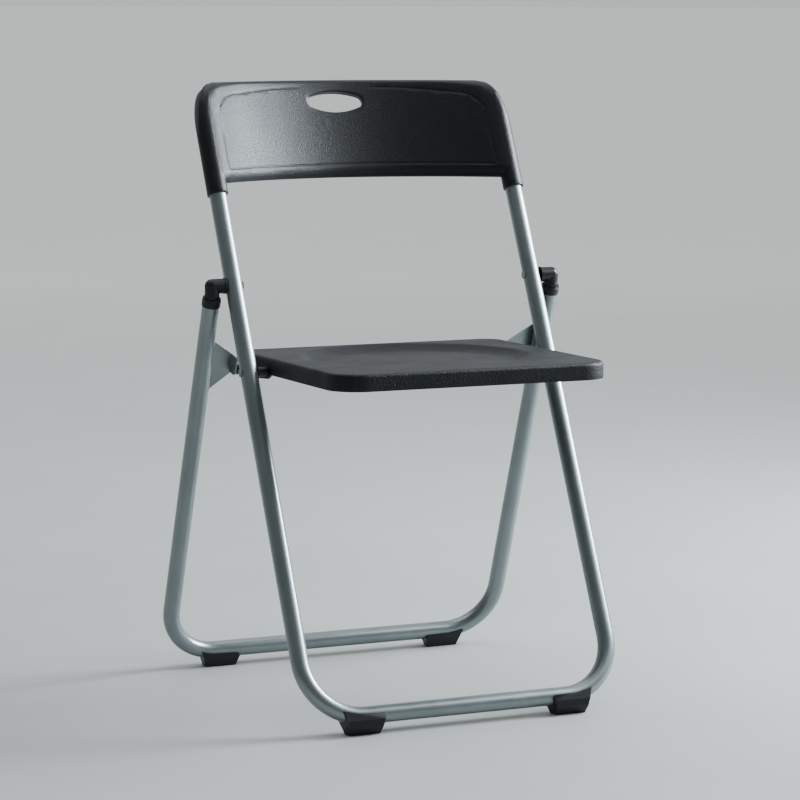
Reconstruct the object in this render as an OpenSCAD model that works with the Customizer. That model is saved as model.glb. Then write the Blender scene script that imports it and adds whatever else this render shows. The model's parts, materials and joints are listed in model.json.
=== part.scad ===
// Folding chair: two bent-tube frames crossing at a pair of pivots, a moulded
// plastic backrest on the front frame and a moulded plastic seat between the uprights.
// Origin: on the floor, under the middle of the chair's width and depth. Front faces -Y,
// +Z is up.
// Units are millimetres. Shown unfolded, standing on its four feet.

/* [Tube frames] */
// Outside diameter of both bent tubes
tube_d = 22; // [20:0.5:23]
// Wall thickness of both tubes
tube_wall = 1.2; // [1:0.1:1.6]
// Lean of the front frame backwards from vertical, degrees
front_lean = 26.3; // [25:0.1:27]
// Lean of the rear frame forwards from vertical, degrees
rear_lean = 20; // [19:0.1:21]
// Distance between the two floor bars, centre to centre
bar_spacing = 428; // [420:1:436]
// Height of the floor bars' centre lines above the floor
bar_height = 22; // [20:0.5:24]
// Distance between the uprights of the front frame, centre to centre
front_spacing = 417; // [417:1:422]
// Distance between the legs of the rear frame, centre to centre
rear_spacing = 475; // [472:1:480]
// Centre-line bend radius of the front frame
front_bend = 72; // [60:1:80]
// Centre-line bend radius of the rear frame
rear_bend = 67; // [60:1:80]
// Length of each upright above the floor bar's centre line
upright_len = 788; // [780:1:790]

/* [Backrest] */
// Height of the top edge above the floor
back_top = 776; // [775:1:780]
// Height of the panel's bottom edge above the floor
back_bottom = 650; // [645:1:660]
// Distance along the upright at which the sleeves start
sleeve_start = 685; // [680:1:700]
// Outside radius of the sleeves round the tubes
sleeve_r = 13.4; // [13:0.1:14]
// How far the middle of the panel bows back behind the tube plane
bow_depth = 52; // [40:1:56]
// Wall thickness of the panel and of its turned-back edges
panel_t = 3; // [2.5:0.5:4]
// Depth of the turned-back top and bottom edges
skirt_deep = 11; // [8:0.5:12]
// Depth of the collar round the hand hole
hole_deep = 10; // [8:0.5:12]
// Half the width of the hand hole
hole_half_w = 39.5; // [36:0.5:42]
// Half the height of the hand hole, along the panel
hole_half_h = 15; // [12:0.5:16]
// Height of the hand hole's centre above the floor
hole_z = 748.5; // [746:0.5:750]
// Radius of the outline's upper corners
corner_r = 26; // [22:1:30]
// Radius of the long curve that leads each side into its corner
side_r = 110; // [90:5:140]
// How far below the top edge that curve begins
side_drop = 62; // [56:1:66]

/* [Seat] */
// Width of the seat
seat_w = 368; // [364:1:369]
// From the seat pivot forward to the seat's front edge
seat_front = 229.5; // [210:0.5:232]
// From the seat pivot back to the seat's rear edge
seat_back = 109.5; // [105:0.5:115]
// Height of the seat's top above the seat pivot
seat_rise = 17.2; // [17:0.1:18]
// Height of the seat's skirt
seat_depth = 21; // [20:0.5:23]
// Wall thickness of the seat moulding
seat_wall = 3; // [2.5:0.1:3.2]
// How far the seat tips down towards the rear, degrees
seat_tilt = 0.75; // [0:0.05:1.5]
// Radius of the dished area
dish_r = 145; // [135:1:146]
// Depth of the dished area
dish_depth = 8; // [4:0.5:8]

/* [Pivots] */
// Distance along the upright from the floor bar to the seat pivot
seat_pivot_s = 446; // [444:0.5:448]
// Distance up the uprights from where the frames cross to the leg pivot
pivot_rise = 5.5; // [4:0.5:6]
// Radius of every pivot rivet's shank
rivet_r = 4; // [3.5:0.1:4]
// Running clearance of the moving bores, radius
running = 0.05; // [0.03:0.01:0.08]
// Rear slide pin: distance behind the middle between the floor bars
link_y = 72; // [71:0.5:74]
// Rear slide pin: height above the floor
link_z = 415; // [414:0.5:416]

/* [Hidden] */
$fn = 96;
eps = 0.01;
tube_r = tube_d / 2;
bore_r = tube_r - tube_wall;
fit = 0.05;                     // tube sockets are this much larger in radius
snug = 0.02;                    // the same for collars, feet, rivets and bushes
gap = 0.3;                      // between faces of bodies that move apart
beyond = 1;                     // cutters run past the face they open by this much
half_front = front_spacing / 2;
half_rear = rear_spacing / 2;
half_bar = bar_spacing / 2;
inner_face = half_front - tube_r;
outer_face = half_front + tube_r;
foot_w = 16;                    // half the width of a foot

// leg pivot in the side view, a little above where the two frames cross
pivot_s = bar_spacing / (sin(front_lean) + cos(front_lean) * tan(rear_lean)) + pivot_rise;
pivot_y = -half_bar + pivot_s * sin(front_lean);
pivot_z = bar_height + pivot_s * cos(front_lean);
rivet_bore = rivet_r + running;

// the same pivot as (back, along) in the rear frame's own plane
pivot_off = (pivot_y - half_bar) * cos(rear_lean) + (pivot_z - bar_height) * sin(rear_lean);
pivot_t = -(pivot_y - half_bar) * sin(rear_lean) + (pivot_z - bar_height) * cos(rear_lean);

// moves everything so that the origin is under the middle of the chair's depth
origin_shift = (seat_front - foot_w - seat_pivot_s * sin(front_lean)) / 2;

// seat pivot in the side view
seat_y = -half_bar + seat_pivot_s * sin(front_lean);
seat_z = bar_height + seat_pivot_s * cos(front_lean);

// rear slide pin as (back, along) in the rear frame's own plane
link_off = (link_y - half_bar) * cos(rear_lean) + (link_z - bar_height) * sin(rear_lean);
link_t = -(link_y - half_bar) * sin(rear_lean) + (link_z - bar_height) * cos(rear_lean);

// rear slide pin seen from the seat pivot, in the seat's tipped frame
dy = link_y - seat_y;
dz = link_z - seat_z;
rail_len = sqrt(dy * dy + dz * dz);
rail_angle = atan2(dz, dy) + seat_tilt;

// seat layout across the chair
side_x = seat_w / 2;            // outside of the skirt and of the rails
rail_t = 2;
rail_x = side_x - rail_t;
rail_r = 9.5;                   // space for the rails' rounded ends
rail_half = rail_r - 0.1;
flange_w = 20;
flange_from = 14;
flange_to = rail_len - 4;
skirt_bottom = seat_rise - seat_depth;
plate_under = seat_rise - seat_wall;
front_corner = 40;
rear_corner = 25;
edge_r = 4;                     // rounded upper edge of the seat
edge_mid = 0.134;               // share of edge_r by which its middle step is drawn in
dish_y = -46;                   // centre of the dish behind the seat pivot
dish_wall = 28;                 // width of the dish's curved wall
dish_arc = (dish_wall * dish_wall + dish_depth * dish_depth) / (2 * dish_depth);
slot_r = rivet_bore + 0.1;
slot_from = 22;
screw_r = 2;
screw_head_r = 4;
screw_head_h = 2.2;
screw_at = [30, 66];            // along the rail from the seat pivot
screw_x = rail_x - 11;
screw_hole = 4;                 // depth of the screw holes in the seat
room = 3;                       // round the rails' flanges
under = 40;                     // cutters reach this far below the rails
skirt_in = side_x - seat_wall - 2;
side_out = side_x + 5;

// seat pivot hardware
spacer_r = 6;
head_r = 5.5;
head_h = 1;
inner_head_r = 7.5;
inner_head_h = 2.5;
leg_head_r = 5;
leg_head_h = 0.8;
pin_head_h = 1.4;

// bracket on each rear leg
plate_t = 2;
plate_off = tube_r + fit;       // bracket lies against the back of the leg
tab_outer = inner_face - 1.9;   // passes inside the upright when folding
tab_inner = tab_outer - plate_t;
bush_r = 6.5;
bush_end = side_x + 0.4;        // pin and bush stop short of the slotted rail
weld_x = 232;                   // plate reaches this far out behind the leg
plate_top = 461;
plate_low = 377;
tab_top = 434;
tab_peak = 437;
tab_low = 409.5;
tab_front = -6.2;
tab_r = link_off - tab_front;   // the tab's lower end is rounded about the pin

// elbow caps on the rear frame
arm_r = 9.4;
arm_end = outer_face + 0.6;
collar_low = pivot_t - 24.7;
leg_end = pivot_t - 15.5;
collar_top = pivot_t - 13.5;
collar_r = tube_r + 0.9;
lip_r = tube_r + 0.3;
spigot_len = 28;
spigot_over = 1;
bend_from = collar_top + 1.5;   // the cap leans back from here up to the pivot
bend_lean = atan2(pivot_off, pivot_t - bend_from);
bend_len = norm([pivot_off, pivot_t - bend_from]);
neck_r = arm_r - 0.15;
arm_lip_r = arm_r + 0.6;
arm_lip_w = 2.2;

// feet
foot_wall = 2.4;
foot_half = tube_r + foot_wall;
foot_reach = 40;
foot_leg = 60;                  // length of upright that the foot is cut around
front_foot_x = 142;
rear_foot_x = 165;
foot_side = [[-20, -30], [16, -30], [20, -14], [26, 4.5], [20, 3], [8, 0], [-26, -1.5], [-28, -5]];
foot_end = [[-9, 0], [9, 0], [foot_w, 11], [foot_w, 60], [-foot_w, 60], [-foot_w, 11]];

// backrest, in the front frame's own plane
panel_edge = 200;
through = 400;                  // cutters reach this far behind and above
before = 100;                   // and this far in front
panel_side = -8;                // panel's front face at panel_chord from the middle
panel_chord = 192;
bow = bow_depth - panel_side;
panel_r = (panel_chord * panel_chord + bow * bow) / (2 * bow);
panel_c = bow_depth - panel_r;
back_half = half_front + sleeve_r;
side_x0 = back_half - side_r;   // centre of the side's long curve
corner_dz = side_drop - corner_r;
corner_dx = sqrt((side_r - corner_r) * (side_r - corner_r) - corner_dz * corner_dz);
corner_x = side_x0 + corner_dx;
tube_cap = 0.5;                 // free length above each upright's end
hole_s = (hole_z - bar_height + bow_depth * sin(front_lean)) / cos(front_lean);
oval_r1 = 9;
oval_x = hole_half_w - oval_r1;
oval_r2 = (oval_x * oval_x + hole_half_h * hole_half_h - oval_r1 * oval_r1)
    / (2 * (hole_half_h - oval_r1));
groove_w = 1.6;
groove_d = 0.7;
groove_side = 190;
groove_top = 8;
groove_bottom = 16;
groove_corner = 26;

grey = [0.62, 0.67, 0.68];
black = [0.08, 0.085, 0.09];
zinc = [0.72, 0.73, 0.74];
dark = [0.12, 0.12, 0.13];

// local axes: x across, y backwards, z along the uprights
module front_plane() {
    translate([0, origin_shift - half_bar, bar_height]) rotate([-front_lean, 0, 0]) children();
}

module rear_plane() {
    translate([0, origin_shift + half_bar, bar_height]) rotate([rear_lean, 0, 0]) children();
}

module seat_frame() {
    translate([0, origin_shift + seat_y, seat_z]) rotate([-seat_tilt, 0, 0]) children();
}

// rail axes: y from the seat pivot towards the rear slide pin
module rail_frame() {
    seat_frame() rotate([rail_angle, 0, 0]) children();
}

// a round bar along x from x0 to x1, on the side given by the sign
module across(side, x0, x1, r) {
    translate([side > 0 ? x0 : -x1, 0, 0]) rotate([0, 90, 0]) cylinder(r = r, h = x1 - x0);
}

// a block on one side of the chair, lo and hi are [x, y, z] with x counted outwards
module side_block(side, lo, hi) {
    translate([side > 0 ? lo[0] : -hi[0], lo[1], lo[2]])
        cube([hi[0] - lo[0], hi[1] - lo[1], hi[2] - lo[2]]);
}

// a plate standing across x on one side, drawn as [y, z] points
module side_plate(side, x0, x1) {
    translate([side > 0 ? x0 : -x1, 0, 0])
        rotate([90, 0, 90]) linear_extrude(height = x1 - x0) children();
}

// U-shaped bar lying in the local x-z plane
module u_bar(half, bend, top, r) {
    for (side = [-1, 1]) {
        translate([side * half, 0, bend]) cylinder(r = r, h = top - bend);
        translate([side * (half - bend), 0, bend]) rotate([90, 0, 0])
            rotate([0, 0, side > 0 ? -90 : 180])
            rotate_extrude(angle = 90) translate([bend, 0]) circle(r = r);
    }
    rotate([0, 90, 0]) translate([0, 0, -(half - bend)]) cylinder(r = r, h = 2 * (half - bend));
}

module front_tube() {
    color(grey) front_plane() difference() {
        u_bar(half_front, front_bend, upright_len, tube_r);
        u_bar(half_front, front_bend, upright_len + beyond, bore_r);
        for (s = [pivot_s, seat_pivot_s], side = [-1, 1]) translate([0, 0, s])
            across(side, inner_face - beyond, outer_face + beyond, rivet_r + snug);
    }
}

module rear_tube() {
    color(grey) rear_plane() difference() {
        u_bar(half_rear, rear_bend, leg_end, tube_r);
        u_bar(half_rear, rear_bend, leg_end + beyond, bore_r);
    }
}

// saddle foot clipped on a floor bar where the bend starts; out points outwards
module foot(side, x, half, bend, y, lean) {
    difference() {
        intersection() {
            translate([0, y, bar_height]) rotate([lean, 0, 0])
                translate([side * x, foot_half, 0]) rotate([90, 0, 0])
                linear_extrude(height = 2 * foot_half)
                polygon([for (p = foot_side) [side * p[0], p[1]]]);
            translate([side * x - foot_reach, y, 0]) rotate([90, 0, 90])
                linear_extrude(height = 2 * foot_reach) polygon(foot_end);
        }
        translate([0, y, bar_height]) rotate([lean, 0, 0])
            u_bar(half, bend, bend + foot_leg, tube_r + snug);
    }
}

module front_foot(side) {
    color(black) foot(side, front_foot_x, half_front, front_bend, origin_shift - half_bar, -front_lean);
}

module rear_foot(side) {
    color(black) foot(side, rear_foot_x, half_rear, rear_bend, origin_shift + half_bar, rear_lean);
}

// outline of the backrest from the front, in x and z, drawn in from the edge by inset
module back_outline(inset) {
    w = back_half - inset;
    low = back_bottom + inset;
    r = corner_r - inset;
    shoulder = back_top - side_drop;
    tangent = corner_dz + r * corner_dz / (side_r - corner_r);
    translate([-w, low]) square([2 * w, shoulder - low]);
    translate([-corner_x, low]) square([2 * corner_x, back_top - inset - low]);
    for (side = [-1, 1]) {
        translate([side * corner_x, back_top - corner_r]) circle(r = r);
        intersection() {
            translate([side * side_x0, shoulder]) circle(r = side_r - inset);
            translate([side > 0 ? 0 : -w, shoulder - eps]) square([w, tangent + eps]);
        }
    }
}

// the same with its straight sides carried down past the sleeves' lower ends
module sleeve_outline() {
    back_outline(0);
    translate([-back_half, 0]) square([2 * back_half, back_bottom + corner_r]);
}

// drawn in x and z, made solid through the whole depth of the chair
module through_y() {
    translate([0, through, 0]) rotate([90, 0, 0]) linear_extrude(height = through + before) children();
}

module hand_hole(grow) {
    for (side = [-1, 1]) translate([side * oval_x, 0]) circle(r = oval_r1 + grow);
    intersection() {
        translate([0, hole_half_h - oval_r2]) circle(r = oval_r2 + grow);
        translate([0, oval_r2 - hole_half_h]) circle(r = oval_r2 + grow);
        square([2 * oval_x, 4 * hole_half_h], center = true);
    }
}

// the hand hole's outline made solid square to the panel
module hole_plug(grow) {
    front_plane() translate([0, through, hole_s]) rotate([90, 0, 0])
        linear_extrude(height = through + before) hand_hole(grow);
}

module groove_area(inset) {
    w = groove_side - inset;
    top = back_top - groove_top - inset;
    low = back_bottom + groove_bottom + inset;
    r = groove_corner - inset;
    translate([-w, low]) square([2 * w, top - low - r]);
    translate([-(w - r), low]) square([2 * (w - r), top - low]);
    for (side = [-1, 1]) translate([side * (w - r), top - r]) circle(r = r);
}

// the panel's curved band seen along the uprights
module panel_arc(r0, r1) {
    intersection() {
        difference() {
            translate([0, panel_c]) circle(r = r1, $fn = 360);
            translate([0, panel_c]) circle(r = r0, $fn = 360);
        }
        translate([-panel_edge, 2 * panel_side]) square([2 * panel_edge, before]);
    }
}

module panel_band(r0, r1) {
    front_plane() translate([0, 0, sleeve_start - before])
        linear_extrude(height = through) panel_arc(r0, r1);
}

module backrest() {
    color(black) difference() {
        union() {
            intersection() {
                panel_band(panel_r, panel_r + panel_t);
                through_y() back_outline(0);
            }
            intersection() {
                panel_band(panel_r, panel_r + skirt_deep);
                through_y() difference() {
                    back_outline(0);
                    back_outline(panel_t);
                }
            }
            intersection() {
                panel_band(panel_r, panel_r + hole_deep);
                hole_plug(panel_t);
            }
            intersection() {
                front_plane() for (side = [-1, 1])
                    translate([side * half_front, 0, sleeve_start])
                    cylinder(r = sleeve_r, h = through);
                through_y() sleeve_outline();
            }
        }
        front_plane() for (side = [-1, 1])
            translate([side * half_front, 0, sleeve_start - beyond])
            cylinder(r = tube_r + fit, h = upright_len + tube_cap - sleeve_start + beyond);
        hole_plug(0);
        intersection() {
            panel_band(panel_r - panel_t, panel_r + groove_d);
            through_y() difference() {
                groove_area(0);
                groove_area(groove_w);
            }
        }
    }
}

module leg_pivot_rivets() {
    color(zinc) front_plane() for (side = [-1, 1]) translate([0, 0, pivot_s]) {
        across(side, inner_face - leg_head_h, inner_face, leg_head_r);
        across(side, inner_face - eps, half_rear, rivet_r);
    }
}

module seat_pivot_rivets() {
    color(zinc) front_plane() for (side = [-1, 1]) translate([0, 0, seat_pivot_s]) {
        across(side, outer_face, outer_face + head_h, head_r);
        across(side, rail_x - gap - eps, outer_face + eps, rivet_r);
        across(side, rail_x - gap - inner_head_h, rail_x - gap, inner_head_r);
    }
}

module seat_pivot_spacers() {
    color(black) front_plane() for (side = [-1, 1]) translate([0, 0, seat_pivot_s])
        difference() {
            across(side, side_x + gap, inner_face - fit, spacer_r);
            across(side, side_x, inner_face + beyond, rivet_r + snug);
        }
}

// black cap on the top of a rear leg, with an arm reaching in to the upright
module elbow(side) {
    color(black) rear_plane() difference() {
        union() {
            translate([side * half_rear, 0, leg_end - spigot_len])
                cylinder(r = bore_r - fit, h = spigot_len + spigot_over);
            translate([side * half_rear, 0, leg_end]) cylinder(r = arm_r, h = bend_from - leg_end);
            translate([side * half_rear, 0, bend_from]) {
                sphere(r = arm_r);
                rotate([-bend_lean, 0, 0]) cylinder(r = neck_r, h = bend_len);
            }
            translate([side * half_rear, pivot_off, pivot_t]) sphere(r = arm_r);
            translate([0, pivot_off, pivot_t]) {
                across(side, arm_end, half_rear, arm_r);
                across(side, arm_end, arm_end + arm_lip_w, arm_lip_r);
            }
        }
        translate([0, pivot_off, pivot_t])
            across(side, arm_end - beyond, half_rear + gap, rivet_bore);
    }
}

module collar(side) {
    color(black) rear_plane() translate([side * half_rear, 0, 0]) difference() {
        union() {
            translate([0, 0, collar_low]) cylinder(r = collar_r, h = leg_end - collar_low);
            translate([0, 0, leg_end]) cylinder(r = lip_r, h = collar_top - leg_end);
        }
        translate([0, 0, collar_low - beyond])
            cylinder(r = tube_r + snug, h = leg_end - collar_low + beyond);
        translate([0, 0, leg_end - beyond]) cylinder(r = bore_r, h = collar_top - leg_end + 2 * beyond);
    }
}

// pressed plate welded on the back of a rear leg, bent forward to carry the slide pin
module bracket(side) {
    color(grey) rear_plane() difference() {
        union() {
            translate([0, plate_off + plate_t, 0]) rotate([90, 0, 0])
                linear_extrude(height = plate_t)
                polygon([[side * weld_x, plate_top], [side * tab_inner, tab_top],
                    [side * tab_inner, tab_low], [side * weld_x, plate_low]]);
            side_plate(side, tab_inner, tab_outer) union() {
                polygon([[plate_off + plate_t, tab_low], [plate_off + plate_t, tab_top],
                    [tab_front / 2, tab_peak], [tab_front, tab_top], [tab_front, link_t],
                    [link_off, link_t], [link_off, link_t - tab_r]]);
                translate([link_off, link_t]) circle(r = tab_r);
            }
        }
        translate([0, link_off, link_t])
            across(side, tab_inner - beyond, tab_outer + beyond, rivet_r + snug);
    }
}

module link_rivets() {
    color(zinc) rear_plane() for (side = [-1, 1]) translate([0, link_off, link_t]) {
        across(side, bush_end, tab_outer + eps, rivet_r);
        across(side, tab_outer, tab_outer + pin_head_h, head_r);
    }
}

module link_bushes() {
    color(black) rear_plane() for (side = [-1, 1]) translate([0, link_off, link_t])
        difference() {
            across(side, bush_end, tab_inner, bush_r);
            across(side, bush_end - beyond, tab_inner + beyond, rivet_r + snug);
        }
}

// outline of the seat from above, drawn in from the edge by inset
module seat_plan(inset) {
    w = side_x - inset;
    f = seat_front - inset;
    b = seat_back - inset;
    rf = front_corner - inset;
    rb = rear_corner - inset;
    translate([-w, -(f - rf)]) square([2 * w, f - rf + b - rb]);
    translate([-(w - rf), -f]) square([2 * (w - rf), f]);
    translate([-(w - rb), 0]) square([2 * (w - rb), b]);
    for (side = [-1, 1]) {
        translate([side * (w - rf), -(f - rf)]) circle(r = rf);
        translate([side * (w - rb), b - rb]) circle(r = rb);
    }
}

module seat_dish() {
    translate([0, dish_y, seat_rise - dish_depth]) rotate_extrude() intersection() {
        union() {
            square([dish_r - dish_wall, 2 * dish_depth]);
            translate([dish_r - dish_wall, dish_arc]) circle(r = dish_arc);
        }
        square([dish_r + dish_wall, dish_depth + beyond]);
    }
}

// what the seat moulding leaves free for a rail, its flange and its screws
module rail_clearance(side) {
    side_block(side, [rail_x - flange_w - room, flange_from - room, -under],
        [side_out, flange_to + room, rail_r]);
    side_block(side, [skirt_in, 0, -under], [side_out, rail_len + rail_r + room, rail_r]);
    side_block(side, [skirt_in, -rail_r - gap, -under], [side_out, flange_from, -beyond]);
    across(side, skirt_in, side_out, rail_r + gap);
    for (y = screw_at) translate([side * screw_x, y, rail_r - beyond])
        cylinder(r = screw_r, h = screw_hole + beyond);
}

module seat_shell() {
    color(black) difference() {
        seat_frame() difference() {
            union() {
                translate([0, 0, skirt_bottom])
                    linear_extrude(height = seat_depth - edge_r) seat_plan(0);
                translate([0, 0, seat_rise - edge_r - eps])
                    linear_extrude(height = edge_r / 2 + eps) seat_plan(edge_r * edge_mid);
                translate([0, 0, seat_rise - edge_r / 2 - eps])
                    linear_extrude(height = edge_r / 2 + eps) seat_plan(edge_r / 2);
            }
            seat_dish();
            difference() {
                translate([0, 0, skirt_bottom - beyond])
                    linear_extrude(height = plate_under - skirt_bottom + beyond) seat_plan(seat_wall);
                translate([0, dish_y, plate_under - dish_depth])
                    cylinder(r = dish_r + 2, h = dish_depth + beyond);
                for (side = [-1, 1])
                    side_block(side, [rail_x - flange_w - room, flange_from - room - 1, -under],
                        [side_x, flange_to + room + 1, plate_under + 1]);
            }
        }
        for (side = [-1, 1]) rail_frame() rail_clearance(side);
    }
}

// steel angle rail under each side of the seat
module rail(side) {
    color(dark) rail_frame() difference() {
        union() {
            across(side, rail_x, side_x, rail_half);
            translate([0, rail_len, 0]) across(side, rail_x, side_x, rail_half);
            side_block(side, [rail_x, 0, -rail_half], [side_x, rail_len, rail_half]);
            side_block(side, [rail_x - flange_w, flange_from, rail_r - rail_t],
                [side_x, flange_to, rail_r - snug]);
        }
        across(side, rail_x - beyond, side_x + beyond, rivet_bore);
        for (y = [slot_from, rail_len])
            translate([0, y, 0]) across(side, rail_x - beyond, side_x + beyond, slot_r);
        side_block(side, [rail_x - beyond, slot_from, -slot_r], [side_x + beyond, rail_len, slot_r]);
        for (y = screw_at) translate([side * screw_x, y, rail_r - 2 * rail_t])
            cylinder(r = screw_r + 2 * fit, h = 3 * rail_t);
    }
}

module rail_screws() {
    color(zinc) rail_frame() for (side = [-1, 1], y = screw_at) translate([side * screw_x, y, 0]) {
        translate([0, 0, rail_r - rail_t - screw_head_h]) cylinder(r = screw_head_r, h = screw_head_h);
        translate([0, 0, rail_r - rail_t - eps]) cylinder(r = screw_r, h = rail_t + screw_hole - 0.5);
    }
}

front_tube();
backrest();
front_foot(-1);  // front_foot_left
front_foot(1);  // front_foot_right
leg_pivot_rivets();
seat_pivot_rivets();
seat_pivot_spacers();
rear_tube();
elbow(-1);  // elbow_left
elbow(1);  // elbow_right
collar(-1);  // collar_left
collar(1);  // collar_right
bracket(-1);  // bracket_left
bracket(1);  // bracket_right
rear_foot(-1);  // rear_foot_left
rear_foot(1);  // rear_foot_right
link_rivets();
link_bushes();
seat_shell();
rail(-1);  // rail_left
rail(1);  // rail_right
rail_screws();
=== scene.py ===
# Looks for the folding chair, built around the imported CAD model.
# Lengths in the shape code are millimetres in the front frame's or the seat's own axes;
# every mesh is turned into metres in the shared frame before it is made.
import json
import math

import bmesh
import bpy
import numpy as np
from mathutils import Matrix, Vector
from mathutils.geometry import delaunay_2d_cdt


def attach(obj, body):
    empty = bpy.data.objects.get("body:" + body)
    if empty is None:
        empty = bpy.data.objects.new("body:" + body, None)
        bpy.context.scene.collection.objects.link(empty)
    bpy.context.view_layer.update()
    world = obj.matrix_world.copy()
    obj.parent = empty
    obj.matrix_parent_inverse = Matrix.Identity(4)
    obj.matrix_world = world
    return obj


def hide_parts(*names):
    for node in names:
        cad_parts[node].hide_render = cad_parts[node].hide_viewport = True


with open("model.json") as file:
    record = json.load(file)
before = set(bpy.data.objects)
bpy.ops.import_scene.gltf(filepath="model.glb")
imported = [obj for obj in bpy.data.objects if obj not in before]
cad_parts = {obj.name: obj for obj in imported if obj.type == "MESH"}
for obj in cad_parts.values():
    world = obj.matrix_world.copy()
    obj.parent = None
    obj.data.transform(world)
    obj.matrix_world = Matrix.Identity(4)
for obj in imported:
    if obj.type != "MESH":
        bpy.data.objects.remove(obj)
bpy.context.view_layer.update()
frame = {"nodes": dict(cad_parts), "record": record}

NODES = frame["nodes"]
MM = 0.001


# ---------------------------------------------------------------- mesh helpers
class Shell:
    """Collects points and faces, sharing points that lie at the same place."""

    def __init__(self):
        self.points, self.faces, self.index = [], [], {}

    def point(self, p):
        key = (round(p[0], 3), round(p[1], 3), round(p[2], 3))
        if key not in self.index:
            self.index[key] = len(self.points)
            self.points.append(tuple(p))
        return self.index[key]

    def face(self, corners):
        ids = [self.point(p) for p in corners]
        ids = [a for k, a in enumerate(ids) if a != ids[k - 1]]
        if len(set(ids)) >= 3:
            self.faces.append(ids)

    def strip(self, row_a, row_b, closed=False):
        n = len(row_a)
        for k in range(n if closed else n - 1):
            j = (k + 1) % n
            self.face([row_a[k], row_a[j], row_b[j], row_b[k]])

    def fan(self, row, middle):
        for k in range(len(row)):
            self.face([row[k], row[(k + 1) % len(row)], middle])

    def sheet(self, outer, holes, lines, extra, place, flip=False):
        """A flat layout, triangulated and then put in place. lines are closed loops that
        stay edges, and extra are loose points."""
        pts, edges = [], []
        for loop in [outer, *holes, *lines]:
            start = len(pts)
            pts += [Vector(p) for p in loop]
            edges += [(start + k, start + (k + 1) % len(loop)) for k in range(len(loop))]
        pts += [Vector(p) for p in extra]
        got, _, tris, _, _, _ = delaunay_2d_cdt(pts, edges, [], 0, 1e-5)
        rings = [np.array(h) for h in holes]
        rim = np.array(outer)
        for t in tris:
            c = sum((got[i] for i in t), Vector((0, 0))) / len(t)
            if not inside(rim, c) or any(inside(h, c) for h in rings):
                continue
            tri = [place(got[i].x, got[i].y) for i in t]
            self.face(tri[::-1] if flip else tri)

    def mesh(self, name, matrix):
        data = bpy.data.meshes.new(name)
        co = [matrix @ (Vector(p) * MM) for p in self.points]
        data.from_pydata([tuple(c) for c in co], [], self.faces)
        bm = bmesh.new()
        bm.from_mesh(data)
        bmesh.ops.recalc_face_normals(bm, faces=bm.faces[:])
        bm.to_mesh(data)
        bm.free()
        return data


def inside(ring, p):
    x, y = ring[:, 0], ring[:, 1]
    x2, y2 = np.roll(x, -1), np.roll(y, -1)
    cross = (y > p[1]) != (y2 > p[1])
    with np.errstate(divide="ignore", invalid="ignore"):
        at = x + (p[1] - y) * (x2 - x) / (y2 - y)
    return int(np.sum(cross & (p[0] < at))) % 2 == 1


def add(name, data):
    obj = bpy.data.objects.new(name, data)
    bpy.context.scene.collection.objects.link(obj)
    return obj


def smooth(data, degrees=32):
    data.shade_smooth()
    data.set_sharp_from_angle(angle=math.radians(degrees))


def combine(obj, joins, cuts):
    """obj joined with the objects in joins and cut by those in cuts; they are used up."""
    for tool, how in [(t, "UNION") for t in joins] + [(t, "DIFFERENCE") for t in cuts]:
        m = obj.modifiers.new(how.lower(), "BOOLEAN")
        m.operation, m.object, m.solver = how, tool, "EXACT"
    bpy.context.view_layer.update()
    seen = obj.evaluated_get(bpy.context.evaluated_depsgraph_get())
    data = bpy.data.meshes.new_from_object(seen)
    obj.modifiers.clear()
    old = obj.data
    obj.data = data
    data.name = obj.name
    bpy.data.meshes.remove(old)
    for tool in [*joins, *cuts]:
        used = tool.data
        bpy.data.objects.remove(tool)
        bpy.data.meshes.remove(used)
    return obj


def arc(cx, cy, r, a0, a1, n):
    """n + 1 points on a circle from a0 to a1 degrees."""
    return [(cx + r * math.cos(math.radians(a0 + (a1 - a0) * k / n)),
             cy + r * math.sin(math.radians(a0 + (a1 - a0) * k / n))) for k in range(n + 1)]


def spread(a, b, step):
    """Evenly spaced values from a to b, both included."""
    return list(np.linspace(a, b, max(1, int(round(abs(b - a) / step))) + 1))


def loop_lines(corners, step):
    """Corner arcs joined into one closed loop, with the straight parts filled in."""
    out = []
    for k, part in enumerate(corners):
        out += part
        a, b = np.array(part[-1]), np.array(corners[(k + 1) % len(corners)][0])
        n = int(round(np.linalg.norm(b - a) / step))
        out += [tuple(a + (b - a) * j / n) for j in range(1, n)] if n > 1 else []
    return out


# ---------------------------------------------------------------- the chair's layout
# the driving dimensions are those of the CAD's source
LEAN = math.radians(26.3)       # of the front frame, from upright
BAR = 214.0                     # front floor bar, from the middle between the two floor bars
BAR_HEIGHT = 22.0
SIN, COS = math.sin(LEAN), math.cos(LEAN)
SEAT_S = 446.0                  # the seat's pivot, along the front frame
SEAT_FRONT, FOOT_W = 229.5, 16.0
SHIFT = (SEAT_FRONT - FOOT_W - SEAT_S * SIN) / 2    # puts the middle of the depth at 0
PIVOT_Y, PIVOT_Z = -BAR + SEAT_S * SIN, BAR_HEIGHT + SEAT_S * COS
FRONT = (Matrix.Translation((0, (SHIFT - BAR) * MM, BAR_HEIGHT * MM))
         @ Matrix.Rotation(-LEAN, 4, "X"))
SEAT_TILT = math.radians(-0.75)
SEAT = (Matrix.Translation((0, (SHIFT + PIVOT_Y) * MM, PIVOT_Z * MM))
        @ Matrix.Rotation(SEAT_TILT, 4, "X"))

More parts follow.
